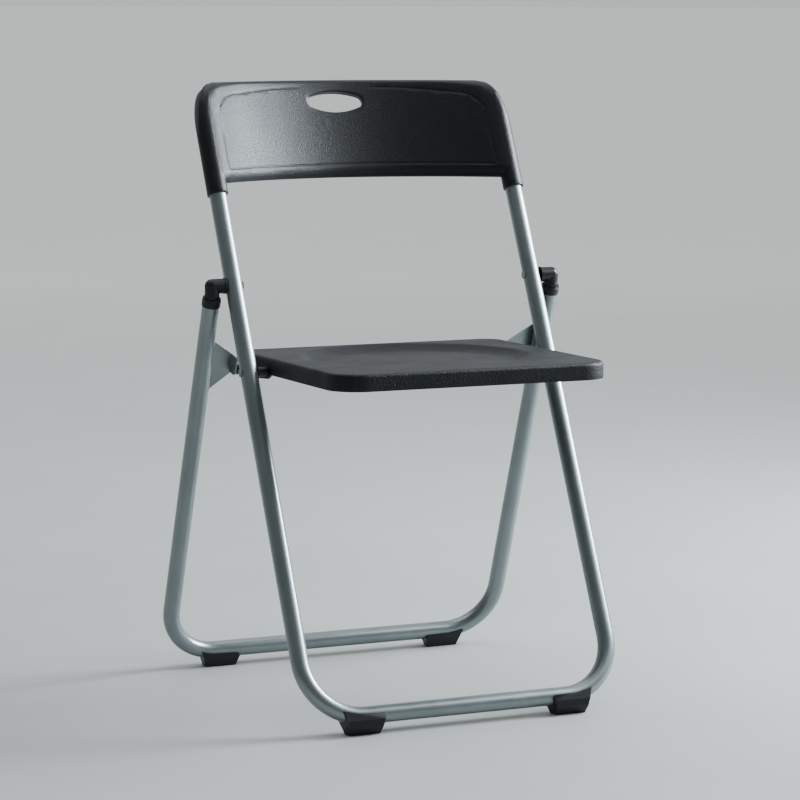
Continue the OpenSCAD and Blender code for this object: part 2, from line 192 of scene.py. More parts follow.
# ---------------------------------------------------------------- backrest
HALF = 208.5                    # uprights, from the middle
SLEEVE_R, BORE_R = 13.4, 11.05
SLEEVE_START, BORE_END = 685.0, 788.5               # along the uprights
SLEEVE_EDGE, SLEEVE_LIP = 11.0, 0.8                 # rounding of the sleeve's two ends
TOP, BOTTOM = 776.0, 650.0                          # of the panel, above the floor
WALL, SKIRT, COLLAR = 3.0, 11.0, 10.0
RIM, RIM_BREAK = 0.8, 0.25                          # rounding of the skirt's rear rim
COLLAR_RIM = 0.7

# the panel's plan: an arc, then a blend that lies down on the sleeve
BOW = 52.0                                          # its middle, behind the uprights
CHORD_HALF, CHORD_Y = 192.0, -8.0
PANEL_R = (CHORD_HALF ** 2 + (BOW - CHORD_Y) ** 2) / (2 * (BOW - CHORD_Y))
PANEL_C = BOW - PANEL_R
BLEND_X, BLEND_END, BLEND_Y = 186.0, 210.0, -13.25
PANEL_STEP, BLEND_STEP = 3.1, 1.5

# its outline: a flat top, a corner arc and a long arc down each side
CORNER, SIDE_CURVE, SIDE_DROP = 36.0, 110.0, 62.0
SIDE_X = HALF + SLEEVE_R - SIDE_CURVE               # middle of the long arc
CORNER_RISE = SIDE_DROP - CORNER
CORNER_RUN = math.sqrt((SIDE_CURVE - CORNER) ** 2 - CORNER_RISE ** 2)
CORNER_X = SIDE_X + CORNER_RUN
TANGENT_X = CORNER_X + CORNER * CORNER_RUN / (SIDE_CURVE - CORNER)
LEAST_COS = 0.1                                     # where the corner arc turns upright

# its rounded edges
EDGE_R, EDGE_GROWTH = 3.6, 5.4                      # upper edge, growing towards the corners
GROWTH_X, GROWTH_OVER = 140, 60
LOW_TALL, LOW_DEEP, LOW_SLOPE = 15.0, 10.2, 0.35    # lower edge, partly a plain slope
EDGE_TURNS = (0, 12, 24, 36, 48, 60, 75, 90)
PANEL_ROWS = 34

# the hand hole: an oval of four arcs
HOLE_Z = 748.5
HOLE_S = (HOLE_Z - BAR_HEIGHT + BOW * SIN) / COS
OVAL_X, OVAL_R1, OVAL_H = 30.5, 9.0, 15.0
OVAL_R2 = (OVAL_X ** 2 + OVAL_H ** 2 - OVAL_R1 ** 2) / (2 * (OVAL_H - OVAL_R1))
HOLE_LIP = [(2.0, 0.0), (1.3, 0.13), (0.7, 0.45), (0.25, 1.0), (0.0, 1.9)]  # outset and depth

# the groove round the panel
GROOVE_X, GROOVE_R, GROOVE_LOW_R = 190.0, 30.0, 3.0
GROOVE_DROP, GROOVE_RISE = 14.5, 16.5               # from the top and from the bottom
GROOVE_LIFT, LIFT_X, LIFT_OVER, LIFT_BAND = 6.5, 176, 100, 12   # the upper line's rise
FADE_X, FADE_OVER, FADE_BAND = 44, 18, 30           # it dies away towards the hand hole
GROOVE = {0.0: 0.0, 0.8: 0.42, 1.4: 0.62, 2.0: 0.42, 2.8: 0.0}  # inset and depth
CLEAR = 1.7                                         # kept free of other points round it
HOLE_CLEAR = 1.6

# the eased seam at the upper corners
SEAM_IN, SEAM_OUT, SEAM_DOWN, SEAM_BACK = 186, 219, 64, 6
SEAM_PASSES, SEAM_IN_STEP, SEAM_OUT_STEP, SEAM_UP_STEP = 14, 0.6, 0.3, 1.5


def ease(u):
    """0 to 1 with a soft start and a soft end."""
    u = min(max(u, 0.0), 1.0)
    return u * u * (3 - 2 * u)


def bezier(t, p):
    u = 1 - t
    return u ** 3 * p[0] + 3 * u * u * t * p[1] + 3 * u * t * t * p[2] + t ** 3 * p[3]


def face_y(x):
    """The panel's front face in plan."""
    ax = abs(x)
    if ax <= BLEND_X:
        return PANEL_C + math.sqrt(PANEL_R ** 2 - ax * ax)
    y0 = PANEL_C + math.sqrt(PANEL_R ** 2 - BLEND_X ** 2)
    slope = -BLEND_X / math.sqrt(PANEL_R ** 2 - BLEND_X ** 2)
    t = (ax - BLEND_X) / (BLEND_END - BLEND_X)
    third = (BLEND_END - BLEND_X) / 3
    return bezier(t, (y0, y0 + slope * third, BLEND_Y - 0.02, BLEND_Y))


def face_normal(x):
    h = 0.05
    slope = (face_y(x + h) - face_y(x - h)) / (2 * h)
    k = 1 / math.hypot(1, slope)
    return -slope * k, k


def top_z(x):
    ax = abs(x)
    if ax <= CORNER_X:
        return TOP
    if ax <= TANGENT_X:
        return TOP - CORNER + math.sqrt(CORNER ** 2 - (ax - CORNER_X) ** 2)
    return TOP - SIDE_DROP + math.sqrt(max(SIDE_CURVE ** 2 - (ax - SIDE_X) ** 2, 0.0))


def top_cos(x):
    """How level the outline runs: 1 along the top, less round the corner."""
    ax = max(abs(x) - CORNER_X, 0.0)
    return math.sqrt(max(1 - (ax / CORNER) ** 2, LEAST_COS ** 2))


def top_round(x):
    return EDGE_R + EDGE_GROWTH * ease((abs(x) - GROWTH_X) / GROWTH_OVER)


def round_off(d, r):
    """How far a rounded edge lies behind the face at distance d from the edge."""
    if d >= r:
        return 0.0
    u = (r - d) / r
    return r * (1 - math.sqrt(max(1 - u * u, 0.0)))


def roll_off(d, tall, deep):
    """The same for the lower edge, a slope mixed with a quarter of an ellipse."""
    if d >= tall:
        return 0.0
    u = (tall - d) / tall
    turn = 1 - math.sqrt(max(1 - u * u, 0.0))
    return deep * (LOW_SLOPE * u + (1 - LOW_SLOPE) * turn)


def on_panel(x, z, depth):
    """Millimetres in the front frame's plane, z being the height above the floor."""
    nx, ny = face_normal(x)
    px, py = x + depth * nx, face_y(x) + depth * ny
    return px, py, (z - BAR_HEIGHT + py * SIN) / COS


def along_panel(x, s, depth):
    """The same with s, the distance along the uprights, instead of the height."""
    nx, ny = face_normal(x)
    return x + depth * nx, face_y(x) + depth * ny, s


def world_z(p):
    return BAR_HEIGHT - p[1] * SIN + p[2] * COS


def oval(grow):
    turn = math.degrees(math.atan2(OVAL_X, OVAL_R2 - OVAL_H))
    r1, r2, off = OVAL_R1 + grow, OVAL_R2 + grow, OVAL_R2 - OVAL_H
    long_n, end_n = 26, 18
    out = arc(0, -off, r2, 90 - turn, 90 + turn, long_n)[:-1]
    out += arc(-OVAL_X, 0, r1, 90 + turn, 270 - turn, end_n)[:-1]
    out += arc(0, off, r2, 270 - turn, 270 + turn, long_n)[:-1]
    out += arc(OVAL_X, 0, r1, -90 + turn, 90 - turn, end_n)[:-1]
    return out


def hole_rim(grow, depth):
    return [along_panel(x, HOLE_S + v, depth) for x, v in oval(grow)]


def hole_in_sheet(grow, depth):
    """The same outline as it lies in a sheet's flat layout."""
    return [(x, world_z(along_panel(x, HOLE_S + v, depth))) for x, v in oval(grow)]


def groove_loop(inset):
    w, r, c = GROOVE_X - inset, GROOVE_R - inset, GROOVE_LOW_R
    top, low = TOP - GROOVE_DROP - inset, BOTTOM + GROOVE_RISE + inset
    parts = [arc(w - r, top - r, r, 0, 90, 26), arc(-(w - r), top - r, r, 90, 180, 26),
             arc(-(w - c), low + c, c, 180, 270, 5), arc(w - c, low + c, c, 270, 360, 5)]
    out = []
    for x, z in loop_lines(parts, 3.0):
        lift = GROOVE_LIFT * ease((LIFT_X - abs(x)) / LIFT_OVER) if z > top - LIFT_BAND else 0.0
        out.append((x, z + lift))
    return out


def groove_fade(x, z):
    if z < TOP - FADE_BAND:
        return 1.0
    return min(max((abs(x) - FADE_X) / FADE_OVER, 0.0), 1.0)


def near(ring, p, gap):
    d = ring - np.array(p)
    return float(np.min(np.sum(d * d, axis=1))) < gap * gap


def panel_rows(x, inset):
    """The heights of one column of points, closer together over the rounded edges."""
    steps = [1 - math.cos(math.radians(a)) for a in EDGE_TURNS]
    lo, hi = BOTTOM + inset, top_z(x) - inset / top_cos(x)
    low = [lo + (LOW_TALL - inset) * k for k in steps]
    high = [hi - (top_round(x) - inset) * k / top_cos(x) for k in steps][::-1]
    mid = [low[-1] + (high[0] - low[-1]) * k / PANEL_ROWS for k in range(1, PANEL_ROWS)]
    return low + mid + high


def edge_depth(x, z, inset):
    return (roll_off(z - BOTTOM - inset, LOW_TALL - inset, LOW_DEEP - inset)
            + round_off((top_z(x) - z) * top_cos(x) - inset, top_round(x) - inset))


def panel_sheet(s, xs, inset, hole, lines, keep_off, groove_depth):
    """The panel's front (inset 0) or its back (inset WALL), laid out by x and height."""
    grid = [[(x, z) for z in panel_rows(x, inset)] for x in xs]
    outer = ([c[0] for c in grid] + grid[-1][1:-1] + [c[-1] for c in grid[::-1]]
             + grid[0][1:-1][::-1])
    extra = [p for c in grid[1:-1] for p in c[1:-1]
             if not any(near(r, p, g) for r, g in keep_off) and not inside(np.array(hole), p)]

    def place(x, z):
        return on_panel(x, z, inset + groove_depth(x, z) + edge_depth(x, z, inset))
    s.sheet(outer, [hole], lines, extra, place, flip=inset > 0)
    return grid


def panel_front(s, xs):
    loops = {k: groove_loop(k) for k in GROOVE}
    marks = {(round(x, 4), round(z, 4)): GROOVE[k] for k, loop in loops.items() for x, z in loop}

    def groove_depth(x, z):
        return marks.get((round(x, 4), round(z, 4)), 0.0) * groove_fade(x, z)

    holes = [hole_in_sheet(grow, 0) for grow, _ in HOLE_LIP]
    guard = [(np.array(loops[k]), CLEAR) for k in sorted(GROOVE)[::2]]
    guard += [(np.array(holes[k]), HOLE_CLEAR) for k in (0, 2)]
    return panel_sheet(s, xs, 0.0, holes[0], list(loops.values()), guard, groove_depth)


def panel_back(s, xs):
    hole = hole_in_sheet(WALL + 1.4, WALL)
    panel_sheet(s, xs, WALL, hole, [], [(np.array(hole), HOLE_CLEAR)], lambda x, z: 0.0)


def hand_hole(s):
    """The hole's rounded lip, its collar and the collar's rear rim, out to the back sheet."""
    rings = [hole_rim(grow, depth) for grow, depth in HOLE_LIP]
    rings += [hole_rim(0.0, depth) for depth in (4.0, 7.0, COLLAR - COLLAR_RIM)]
    rings += [hole_rim(COLLAR_RIM, COLLAR), hole_rim(WALL - COLLAR_RIM, COLLAR),
              hole_rim(WALL, COLLAR - COLLAR_RIM), hole_rim(WALL, 6.0),
              hole_rim(WALL + 0.4, WALL + 1.0), hole_rim(WALL + 1.4, WALL)]
    for a, b in zip(rings, rings[1:]):
        s.strip(a, b, True)


def turned_edge(s, xs, front, at_top):
    """An edge turned back behind the panel, with a rounded rear rim."""
    sign, end = (-1, -1) if at_top else (1, 0)
    face, halfway = "face", "halfway"

    def row(inset, depth):
        out = []
        for x, column in zip(xs, front):
            edge = top_round(x) if at_top else LOW_DEEP
            there = {face: edge, halfway: (edge + SKIRT - RIM) / 2}.get(depth, depth)
            z = column[end][1] + sign * inset / (top_cos(x) if at_top else 1)
            out.append(on_panel(x, z, there))
        return out
    path = [(0.0, face), (0.0, SKIRT - RIM), (RIM_BREAK, SKIRT - RIM_BREAK), (RIM, SKIRT),
            (WALL - RIM, SKIRT), (WALL - RIM_BREAK, SKIRT - RIM_BREAK), (WALL, SKIRT - RIM),
            (WALL, face)]
    if at_top:
        path.insert(1, (0.0, halfway))
        path.insert(-1, (WALL, halfway))
    rows = [row(inset, depth) for inset, depth in path]
    for a, b in zip(rows, rows[1:]):
        s.strip(a, b)


def panel_shell():
    s = Shell()
    xs = sorted(set(spread(-BLEND_END, -BLEND_X, BLEND_STEP) + spread(-BLEND_X, BLEND_X, PANEL_STEP)
                    + spread(BLEND_X, BLEND_END, BLEND_STEP)))
    front = panel_front(s, xs)
    hand_hole(s)
    panel_back(s, xs)
    for at_top in (False, True):
        turned_edge(s, xs, front, at_top)
    return s


def close_ends(data):
    """Fills the panel's two open ends, which lie inside the sleeves."""
    bm = bmesh.new()
    bm.from_mesh(data)
    bmesh.ops.remove_doubles(bm, verts=bm.verts[:], dist=2e-6)
    open_edges = [e for e in bm.edges if len(e.link_faces) == 1]
    bmesh.ops.holes_fill(bm, edges=open_edges, sides=0)
    big = [f for f in bm.faces if len(f.verts) > 4]
    bmesh.ops.triangulate(bm, faces=big)
    bmesh.ops.recalc_face_normals(bm, faces=bm.faces[:])
    bm.to_mesh(data)
    bm.free()


def sleeve_shell(side):
    s = Shell()
    n, side_n = 80, 16
    turns = [2 * math.pi * k / n for k in range(n)]

    def level(r, along):
        """A ring square to the upright."""
        return [(side * (HALF + r * math.cos(t)), r * math.sin(t), along) for t in turns]

    def under_outline(r, drop):
        """A ring that follows the backrest's outline, drop below it."""
        out = []
        for t in turns:
            x, y = HALF + r * math.cos(t), r * math.sin(t)
            out.append((side * x, y, (top_z(x) - drop - BAR_HEIGHT + y * SIN) / COS))
        return out
    bottom = [level(SLEEVE_R - SLEEVE_LIP, SLEEVE_START),
              level(SLEEVE_R - 0.35, SLEEVE_START + 0.2),
              level(SLEEVE_R, SLEEVE_START + SLEEVE_LIP)]
    upper = []
    for a in (0, 15, 30, 45, 60, 75, 90):
        r = SLEEVE_R - SLEEVE_EDGE * (1 - math.cos(math.radians(a)))
        upper.append(under_outline(r, SLEEVE_EDGE - SLEEVE_EDGE * math.sin(math.radians(a))))
    upper += [under_outline(r, 0.0) for r in (1.6, 0.8)]
    between = []
    for k in range(1, side_n):
        w = k / side_n
        between.append([tuple(a[i] * (1 - w) + b[i] * w for i in range(3))
                        for a, b in zip(bottom[-1], upper[0])])
    rows = bottom + between + upper
    for a, b in zip(rows, rows[1:]):
        s.strip(a, b, True)
    s.fan(rows[-1], (side * HALF, 0, (top_z(HALF) - BAR_HEIGHT) / COS))
    s.fan(bottom[0], (side * HALF, 0, SLEEVE_START))
    return s


def bore_shell(side):
    s = Shell()
    n, beyond = 72, 5
    rings = []
    for z in (SLEEVE_START - beyond, BORE_END):
        rings.append([(side * HALF + BORE_R * math.cos(2 * math.pi * k / n),
                       BORE_R * math.sin(2 * math.pi * k / n), z) for k in range(n)])
    s.strip(rings[0], rings[1], True)
    s.fan(rings[0], (side * HALF, 0, SLEEVE_START - beyond))
    s.fan(rings[1], (side * HALF, 0, BORE_END))
    return s


def blend_corners(obj):
    """Eases the seam where the panel runs into the sleeves at the upper corners."""
    bm = bmesh.new()
    bm.from_mesh(obj.data)
    back = FRONT.inverted()
    picked = []
    for v in bm.verts:
        p = back @ v.co / MM
        off_bore = math.hypot(abs(p.x) - HALF, p.y) > BORE_R + 0.8
        if off_bore and p.y < SEAM_BACK:
            picked.append((v, abs(p.x), v.co.z / MM))
    for k in range(SEAM_PASSES):    # each pass a little smaller, so it fades at its border
        x0, x1 = SEAM_IN + SEAM_IN_STEP * k, SEAM_OUT - SEAM_OUT_STEP * k
        z0 = TOP - SEAM_DOWN + SEAM_UP_STEP * k
        now = [v for v, x, z in picked if x0 < x < x1 and z > z0]
        bmesh.ops.smooth_vert(bm, verts=now, factor=0.5, use_axis_x=True, use_axis_y=True,
                              use_axis_z=True)
    bm.to_mesh(obj.data)
    bm.free()


def make_backrest():
    data = panel_shell().mesh("backrest_moulding", FRONT)
    close_ends(data)
    obj = add("backrest_moulding", data)
    sleeves = [add("sleeve_tool", sleeve_shell(k).mesh("sleeve_tool", FRONT)) for k in (-1, 1)]
    bores = [add("bore_tool", bore_shell(k).mesh("bore_tool", FRONT)) for k in (-1, 1)]
    combine(obj, sleeves, bores)
    blend_corners(obj)
    smooth(obj.data, 40)
    return obj


backrest = make_backrest()


# ---------------------------------------------------------------- seat
SIDE = 184.0                                        # half the width
SEAT_BACK = 109.5                                   # behind the pivot
RISE, DEEP, SHEET = 17.2, 21.0, 3.0                 # top above the pivot, skirt's height, wall
RF, RB = 40.0, 25.0                                 # front and rear corners
SEAT_EDGE = 4.5                                     # rounding of the upper edge
FLAT_RING = SEAT_EDGE + 2.5                         # where the top's flat layout starts
DISH_Y, DISH_R, DISH_WALL, DISH_DEPTH = -46.0, 145.0, 28.0, 8.0
DISH_ARC = (DISH_WALL ** 2 + DISH_DEPTH ** 2) / (2 * DISH_DEPTH)
DISH_SOFT, SOFT_SLOPE = 3.5, 0.62                   # half the width of the dish's soft rim
LINK_Y, LINK_Z = 72.0, 415.0                        # slide pins, from the bars' middle and the floor
LINK = (LINK_Y - PIVOT_Y, LINK_Z - PIVOT_Z)
RAIL_LEN = math.hypot(*LINK)
RAIL = SEAT @ Matrix.Rotation(math.atan2(LINK[1], LINK[0]) - SEAT_TILT, 4, "X")
RAIL_R, RAIL_GAP = 9.5, 0.3
BOSS_X, CUT_X = (160.0, 182.5), (179.0, 190.0)      # bosses for the rails, and the rails' room
CUT_DOWN = -40.0


def seat_loop(inset):
    w, f, b = SIDE - inset, -SEAT_FRONT + inset, SEAT_BACK - inset
    rf, rb = RF - inset, RB - inset
    parts = [arc(w - rf, f + rf, rf, -90, 0, 20), arc(w - rb, b - rb, rb, 0, 90, 14),
             arc(-(w - rb), b - rb, rb, 90, 180, 14), arc(-(w - rf), f + rf, rf, 180, 270, 20)]
    counts = (62, 74, 62, 78)       # points on the side, the back, the side and the front
    out = []
    for k, part in enumerate(parts):
        out += part
        a, b2 = np.array(part[-1]), np.array(parts[(k + 1) % 4][0])
        out += [tuple(a + (b2 - a) * j / counts[k]) for j in range(1, counts[k])]
    return out


def dish(x, y):
    """Height of the dished top against the flat rim."""
    r = math.hypot(x, y - DISH_Y)
    if abs(r - DISH_R) < DISH_SOFT:
        u = (DISH_R + DISH_SOFT - r) / (2 * DISH_SOFT)
        return -SOFT_SLOPE * DISH_SOFT * u * u
    if r <= DISH_R - DISH_WALL:
        return -DISH_DEPTH
    if r >= DISH_R:
        return 0.0
    d = r - (DISH_R - DISH_WALL)
    return -DISH_DEPTH + DISH_ARC - math.sqrt(DISH_ARC ** 2 - d * d)


def circle(r, n):
    return [(r * math.cos(t), DISH_Y + r * math.sin(t))
            for t in np.linspace(0, 2 * math.pi, n, endpoint=False)]


def seat_sheet(s, inset, drop, step, flip):
    """The dished top (drop 0) or its underside, with rings of points round the dish."""
    ring = seat_loop(inset)
    rim = np.array(ring)
    extra = []
    for off in (DISH_SOFT, 1.8, 0.0, -1.8, -DISH_SOFT):
        extra += circle(DISH_R + off, 300)
    for r in spread(DISH_R - 6.5, DISH_R - DISH_WALL, 3.0):
        extra += circle(r, 240)
    room = step * 0.6
    row, y = 0, -SEAT_FRONT
    while y < SEAT_BACK:
        x = -SIDE + (step / 2 if row % 2 else 0)
        while x < SIDE:
            r = math.hypot(x, y - DISH_Y)
            if not DISH_R - DISH_WALL - room < r < DISH_R + DISH_SOFT + room:
                extra.append((x, y))
            x += step
        y += step * 0.87            # rows of a triangular layout
        row += 1
    extra = [p for p in extra if inside(rim, p) and not near(rim, p, step * 0.5)]
    s.sheet(ring, [], [], extra, lambda x, y: (x, y, RISE + dish(x, y) - drop), flip)


def seat_shell():
    s = Shell()
    low, under = RISE - DEEP, RISE - SHEET
    path = [(SHEET, under - 1.5), (SHEET, low + RIM), (SHEET - RIM, low), (RIM, low),
            (RIM_BREAK, low + RIM_BREAK), (0.0, low + RIM), (0.0, low + 6.0), (0.0, low + 11.0)]
    for a in EDGE_TURNS:
        t = math.radians(a)
        path.append((SEAT_EDGE * (1 - math.cos(t)), RISE - SEAT_EDGE + SEAT_EDGE * math.sin(t)))
    path.append((FLAT_RING, RISE))
    rows = [[(x, y, z) for x, y in seat_loop(inset)] for inset, z in path]
    for a, b in zip(rows, rows[1:]):
        s.strip(a, b, True)
    s.strip(rows[0], [(x, y, under) for x, y in seat_loop(SEAT_EDGE)], True)
    seat_sheet(s, FLAT_RING, 0.0, 4.5, False)
    seat_sheet(s, SEAT_EDGE, SHEET, 6.0, True)
    return s


def block(lo, hi):
    s = Shell()
    x, y, z = zip(lo, hi)
    c = [(x[i], y[j], z[k]) for i in (0, 1) for j in (0, 1) for k in (0, 1)]
    for ids in ((0, 1, 3, 2), (4, 6, 7, 5), (0, 4, 5, 1), (2, 3, 7, 6), (0, 2, 6, 4), (1, 5, 7, 3)):
        s.face([c[i] for i in ids])
    return s


def cross_rod(x0, x1, r, n=48):
    s = Shell()
    rings = [[(x, r * math.cos(2 * math.pi * k / n), r * math.sin(2 * math.pi * k / n))
              for k in range(n)] for x in (x0, x1)]
    s.strip(rings[0], rings[1], True)
    s.fan(rings[0], (x0, 0, 0))
    s.fan(rings[1], (x1, 0, 0))
    return s


def rail_tool(shell):
    return add("tool", shell.mesh("tool", RAIL))


def make_seat():
    obj = add("seat_moulding", seat_shell().mesh("seat_moulding", SEAT))
    bosses, cuts = [], []
    for side in (-1, 1):
        x0, x1 = sorted(side * x for x in BOSS_X)
        bosses.append(rail_tool(block((x0, 12.0, RAIL_R), (x1, RAIL_LEN - 2, RISE - 1.2))))
        x0, x1 = sorted(side * x for x in CUT_X)
        cuts.append(rail_tool(block((x0, 0.0, CUT_DOWN), (x1, RAIL_LEN + RAIL_R + 3, RAIL_R))))
        cuts.append(rail_tool(block((x0, -RAIL_R - RAIL_GAP, CUT_DOWN), (x1, 14.0, -1.0))))
        cuts.append(rail_tool(cross_rod(x0, x1, RAIL_R + RAIL_GAP)))
    combine(obj, bosses, cuts)
    smooth(obj.data, 34)
    return obj


seat = make_seat()


# ---------------------------------------------------------------- materials
def material(name):
    mat = bpy.data.materials.new(name)
    mat.use_nodes = True
    nt = mat.node_tree
    return mat, nt, nt.nodes["Principled BSDF"]


def ramp(nt, source, stops):
    n = nt.nodes.new("ShaderNodeValToRGB")
    els = n.color_ramp.elements
    while len(els) < len(stops):
        els.new(0.5)
    for e, (at, c) in zip(els, stops):
        e.position = at
        e.color = (c, c, c, 1) if not hasattr(c, "__len__") else (*c, 1)
    nt.links.new(source, n.inputs["Fac"])
    return n.outputs["Color"]


def coords(nt):
    return nt.nodes.new("ShaderNodeTexCoord").outputs["Object"]


def noise(nt, vec, scale, detail=3.0, rough=0.55):
    n = nt.nodes.new("ShaderNodeTexNoise")
    n.inputs["Scale"].default_value = scale
    n.inputs["Detail"].default_value = detail
    n.inputs["Roughness"].default_value = rough
    nt.links.new(vec, n.inputs["Vector"])
    return n.outputs["Fac"]


def math_node(nt, op, *values, clamp=False):
    n = nt.nodes.new("ShaderNodeMath")
    n.operation = op
    n.use_clamp = clamp
    for k, v in enumerate(values):
        if isinstance(v, bpy.types.NodeSocket):
            nt.links.new(v, n.inputs[k])
        else:
            n.inputs[k].default_value = v
    return n.outputs[0]


def blend(nt, a, share_a, b, share_b):
    return math_node(nt, "ADD", math_node(nt, "MULTIPLY", a, share_a),
                     math_node(nt, "MULTIPLY", b, share_b))


def bump(nt, bsdf, height, strength, distance):
    b = nt.nodes.new("ShaderNodeBump")
    b.inputs["Strength"].default_value = strength
    b.inputs["Distance"].default_value = distance
    nt.links.new(height, b.inputs["Height"])
    nt.links.new(b.outputs["Normal"], bsdf.inputs["Normal"])


def painted_steel():
    """Satin silver paint: fine flakes, faint clouding, scuffs in the gloss, orange peel."""
    mat, nt, p = material("silver_paint")
    vec = coords(nt)
    flakes = noise(nt, vec, 2600.0, 2.0)
    cloud = noise(nt, vec, 14.0, 4.0)
    tint = ramp(nt, blend(nt, flakes, 0.55, cloud, 0.45),
                [(0.3, (0.215, 0.245, 0.252)), (0.7, (0.31, 0.345, 0.352))])
    nt.links.new(tint, p.inputs["Base Color"])
    scuff = noise(nt, vec, 90.0, 6.0, 0.7)
    nt.links.new(ramp(nt, scuff, [(0.35, 0.31), (0.75, 0.42)]), p.inputs["Roughness"])
    p.inputs["Metallic"].default_value = 0.75
    p.inputs["Coat Weight"].default_value = 0.25
    p.inputs["Coat Roughness"].default_value = 0.12
    bump(nt, p, noise(nt, vec, 420.0, 2.0), 0.05, 0.0003)
    return mat


def grained_plastic(name, low, high, rough_lo, rough_hi, cell, depth):
    """Moulded plastic with a pebbled grain; cell is the grain's size in millimetres."""
    mat, nt, p = material(name)
    vec = coords(nt)
    per_metre = 1000.0 / cell
    pebble = nt.nodes.new("ShaderNodeTexVoronoi")
    pebble.feature = "SMOOTH_F1"
    pebble.inputs["Scale"].default_value = per_metre
    pebble.inputs["Smoothness"].default_value = 0.6
    nt.links.new(vec, pebble.inputs["Vector"])
    grain = noise(nt, vec, per_metre * 0.8, 3.0)
    wide = noise(nt, vec, 22.0, 4.0)
    height = math_node(nt, "SUBTRACT", math_node(nt, "MULTIPLY", grain, 0.6),
                       pebble.outputs["Distance"])
    # partly painted shade: the pits between the pebbles are painted darker where the bump is lowest;
    # the broad noise adds a tone that varies at random
    tone = blend(nt, pebble.outputs["Distance"], 0.5, wide, 0.5)
    nt.links.new(ramp(nt, tone, [(0.25, high), (0.7, low)]), p.inputs["Base Color"])
    nt.links.new(ramp(nt, wide, [(0.3, rough_lo), (0.72, rough_hi)]), p.inputs["Roughness"])
    p.inputs["Specular IOR Level"].default_value = 0.5
    bump(nt, p, height, 0.8, depth)
    return mat


def zinc_steel():
    """Zinc plate: spangle and patches."""
    mat, nt, p = material("zinc_plate")
    vec = coords(nt)
    spangle = nt.nodes.new("ShaderNodeTexVoronoi")
    spangle.inputs["Scale"].default_value = 420.0
    nt.links.new(vec, spangle.inputs["Vector"])
    patch = noise(nt, vec, 160.0, 5.0, 0.65)
    tone = math_node(nt, "ADD", math_node(nt, "MULTIPLY", spangle.outputs["Distance"], 0.35), patch)
    color = ramp(nt, tone, [(0.3, (0.17, 0.18, 0.19)), (0.9, (0.34, 0.35, 0.35))])
    nt.links.new(color, p.inputs["Base Color"])
    p.inputs["Metallic"].default_value = 1.0
    nt.links.new(ramp(nt, patch, [(0.3, 0.25), (0.75, 0.5)]), p.inputs["Roughness"])
    bump(nt, p, patch, 0.15, 0.0003)
    return mat


BACK_PLASTIC = grained_plastic("backrest_plastic", (0.0075, 0.0088, 0.0105),
                               (0.014, 0.016, 0.0195), 0.34, 0.41, 1.3, 0.0004)
SEAT_PLASTIC = grained_plastic("seat_plastic", (0.0045, 0.0056, 0.0072),
                               (0.011, 0.0135, 0.017), 0.50, 0.58, 1.7, 0.0006)
PAD = grained_plastic("foot_plastic", (0.010, 0.011, 0.013),
                      (0.018, 0.019, 0.022), 0.34, 0.46, 0.8, 0.00008)
DARK = grained_plastic("black_coated_steel", (0.010, 0.010, 0.011),
                       (0.016, 0.016, 0.018), 0.30, 0.42, 0.6, 0.00004)
BY_SLOT = {"paint": painted_steel(), "plastic": BACK_PLASTIC, "pad": PAD, "zinc": zinc_steel(),
           "dark_steel": DARK}


def soften(name, width, degrees=35, segments=3):
    """Rounds a CAD piece's edges by width millimetres."""
    obj = NODES[name]
    weld = obj.modifiers.new("weld", "WELD")
    weld.merge_threshold = 2e-5
    m = obj.modifiers.new("bevel", "BEVEL")
    m.width = width * MM
    m.segments = segments
    m.limit_method = "ANGLE"
    m.angle_limit = math.radians(degrees)
    m.harden_normals = True


for row in frame["record"]["subparts"]:
    coats = NODES[row["node"]].data.materials
    coats.clear()
    coats.append(BY_SLOT[row["material_slot"]])
for side in ("left", "right"):
    soften("front_foot_" + side, 1.6, segments=4)
    soften("rear_foot_" + side, 1.6, segments=4)
    soften("collar_" + side, 0.4)
    soften("bracket_" + side, 0.3, segments=2)
for name in ("leg_pivot_rivets", "seat_pivot_rivets", "link_rivets"):
    soften(name, 0.5)

backrest.data.materials.append(BACK_PLASTIC)
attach(backrest, "front_frame")
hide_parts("backrest")
seat.data.materials.append(SEAT_PLASTIC)
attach(seat, "seat")
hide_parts("seat_shell")


# ---------------------------------------------------------------- stage, light, camera
FLOOR_HALF = 400.0              # metres, so that the floor's edge lies at the horizon
LOOK_AT = Vector((0, 0, 0.42))  # what the lights point at


def make_floor():
    bm = bmesh.new()
    bmesh.ops.create_grid(bm, x_segments=8, y_segments=8, size=FLOOR_HALF)
    data = bpy.data.meshes.new("studio_floor")
    bm.to_mesh(data)
    bm.free()
    obj = add("studio_floor", data)
    mat, nt, p = material("pale_floor")
    vec = coords(nt)
    # painted shade near the chair and painted light away from it: the floor's colour is darker close
    # by and paler far off, evening out how the lamps light it
    away = nt.nodes.new("ShaderNodeVectorMath")     # paler away from the chair
    away.operation = "LENGTH"
    nt.links.new(vec, away.inputs[0])
    wide = math_node(nt, "MULTIPLY", math_node(nt, "SUBTRACT", away.outputs["Value"], 0.8), 0.2,
                     clamp=True)
    color = ramp(nt, blend(nt, noise(nt, vec, 3.0, 5.0), 0.12, wide, 0.85),
                 [(0.02, (0.335, 0.345, 0.337)), (0.92, (0.72, 0.735, 0.73))])
    nt.links.new(color, p.inputs["Base Color"])
    p.inputs["Roughness"].default_value = 0.55
    p.inputs["Specular IOR Level"].default_value = 0.3
    obj.data.materials.append(mat)


def softbox(name, where, size, power, color):
    light = bpy.data.lights.new(name, "AREA")
    light.shape = "RECTANGLE"
    light.size, light.size_y = size
    light.energy = power
    light.color = color
    obj = add(name, light)
    obj.location = where
    obj.rotation_euler = (LOOK_AT - where).to_track_quat("-Z", "Y").to_euler()
    obj.visible_camera = False


